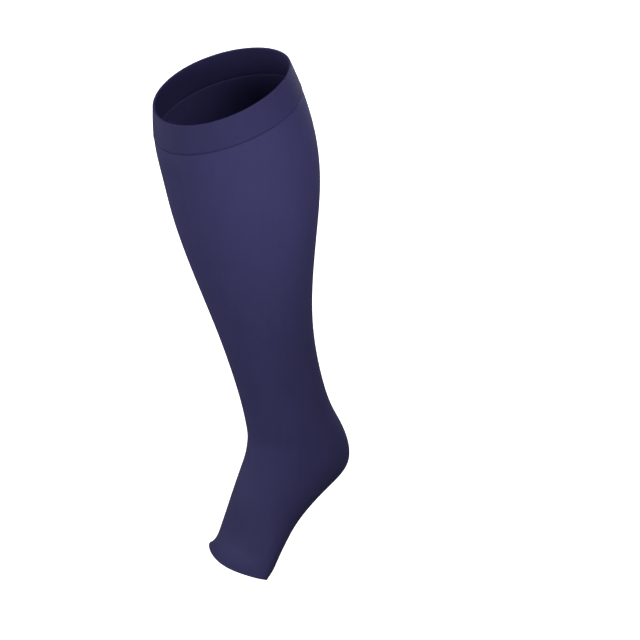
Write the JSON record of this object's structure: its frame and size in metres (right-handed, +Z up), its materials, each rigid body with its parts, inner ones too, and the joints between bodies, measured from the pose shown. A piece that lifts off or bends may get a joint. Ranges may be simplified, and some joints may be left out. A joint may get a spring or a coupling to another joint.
{
  "type": "knee-high open-toe compression stocking",
  "caption": "Knee-high open-toe compression stocking in its worn shape, a hollow knitted tube with a doubled band under the knee.",
  "frame": {"origin": "centre of the top opening, where the wearer's leg holds the stocking up", "axes": "+Z up the leg, -Y towards the shin and toes, X across, with the stocking symmetric about X = 0"},
  "size_m": [0.132, 0.1959, 0.511],
  "materials": {
    "leg_knit": "matte satin fine knit, indigo",
    "band_knit": "matte doubled knit, indigo"
  },
  "bodies": {
    "root": {"top_band": "band_knit", "leg_and_foot": "leg_knit"}
  },
  "joints": []
}
